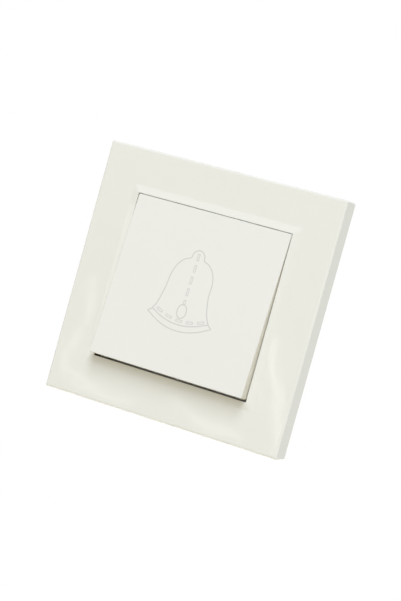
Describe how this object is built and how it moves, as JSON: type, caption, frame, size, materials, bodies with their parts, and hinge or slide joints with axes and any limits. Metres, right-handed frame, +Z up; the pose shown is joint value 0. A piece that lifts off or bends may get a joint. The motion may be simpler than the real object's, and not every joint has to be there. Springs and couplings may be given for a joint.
{
  "type": "doorbell push button",
  "caption": "Flush-mounted bell push: square cover frame with a wide spring-return rocker, contact mechanism, steel ring and spreading claws for a round wall box.",
  "frame": {"origin": "middle of the screw pattern, on the wall plane at the back of the support ring", "axes": "+X to the right, +Y into the wall, +Z up; the front faces -Y"},
  "size_m": [0.082, 0.0405, 0.082],
  "materials": {
    "frame_plastic": "glossy cream-white moulding",
    "rocker_plastic": "satin cream-white moulding",
    "carrier_plastic": "natural moulded nylon",
    "insert_plastic": "fine moulded insulation plastic",
    "zinc_steel": "zinc-plated pressed sheet",
    "screw_steel": "zinc-plated screw",
    "spring_steel": "drawn spring wire",
    "strip_brass": "stamped brass",
    "contact_silver": "silver contact alloy"
  },
  "bodies": {
    "housing": {"cover_frame": "frame_plastic", "mechanism_cover": "insert_plastic", "mechanism_base": "insert_plastic", "support_ring": "zinc_steel", "ring_rivets": "zinc_steel", "pivot_strip": "strip_brass", "fixed_strip": "strip_brass", "fixed_tip": "contact_silver", "return_spring": "spring_steel"},
    "rocker": {"rocker_button": "rocker_plastic", "rocker_carrier": "carrier_plastic", "contact_plunger": "carrier_plastic", "plunger_spring": "spring_steel"},
    "contact_arm": {"contact_lever": "strip_brass", "lever_tip": "contact_silver"},
    "cage_left": {"clamp_cage_left": "strip_brass"},
    "cage_right": {"clamp_cage_right": "strip_brass"},
    "screw_left": {"terminal_screw_left": "screw_steel"},
    "screw_right": {"terminal_screw_right": "screw_steel"},
    "claw_arm_left": {"claw_left": "zinc_steel"},
    "claw_arm_right": {"claw_right": "zinc_steel"},
    "claw_bolt_left": {"claw_screw_left": "screw_steel"},
    "claw_bolt_right": {"claw_screw_right": "screw_steel"}
  },
  "joints": [
    {"name": "rocker_press", "type": "hinge", "parent": "housing", "child": "rocker", "pos_m": [0, -0.00584, 0], "axis": [1, 0, 0], "range_deg": [0, 8], "stiffness_Nm_per_rad": 0.15, "springref_deg": -14.32, "deforming": ["return_spring"]},
    {"name": "contact_flip", "type": "hinge", "parent": "housing", "child": "contact_arm", "pos_m": [0, 0.0042, 0], "axis": [1, 0, 0], "range_deg": [-14, 0]},
    {"name": "terminal_turn_left", "type": "hinge", "parent": "housing", "child": "screw_left", "pos_m": [-0.009, 0.0138, -0.0197], "axis": [0, 0, 1], "range_deg": [0, 1440]},
    {"name": "terminal_turn_right", "type": "hinge", "parent": "housing", "child": "screw_right", "pos_m": [0.009, 0.0138, -0.0197], "axis": [0, 0, 1], "range_deg": [0, 1440]},
    {"name": "cage_clamp_left", "type": "slide", "parent": "housing", "child": "cage_left", "axis": [0, 0, -1], "range_m": [0, 0.002]},
    {"name": "cage_clamp_right", "type": "slide", "parent": "housing", "child": "cage_right", "axis": [0, 0, -1], "range_m": [0, 0.002]},
    {"name": "claw_turn_left", "type": "hinge", "parent": "housing", "child": "claw_bolt_left", "pos_m": [-0.024, 0, 0], "axis": [0, 1, 0], "range_deg": [0, 2880]},
    {"name": "claw_turn_right", "type": "hinge", "parent": "housing", "child": "claw_bolt_right", "pos_m": [0.024, 0, 0], "axis": [0, 1, 0], "range_deg": [0, 2880]},
    {"name": "claw_spread_left", "type": "hinge", "parent": "housing", "child": "claw_arm_left", "pos_m": [-0.024, 0.008, 0], "axis": [0, 0, 1], "range_deg": [0, 20]},
    {"name": "claw_spread_right", "type": "hinge", "parent": "housing", "child": "claw_arm_right", "pos_m": [0.024, 0.008, 0], "axis": [0, 0, -1], "range_deg": [0, 20]}
  ],
  "couplings": [
    {"joint": "contact_flip", "follows": "rocker_press", "ratio": -1.75},
    {"joint": "terminal_turn_left", "follows": "cage_clamp_left", "rad_per_m": 12566},
    {"joint": "terminal_turn_right", "follows": "cage_clamp_right", "rad_per_m": 12566},
    {"joint": "claw_spread_left", "follows": "claw_turn_left", "ratio": 0.006944},
    {"joint": "claw_spread_right", "follows": "claw_turn_right", "ratio": 0.006944}
  ]
}
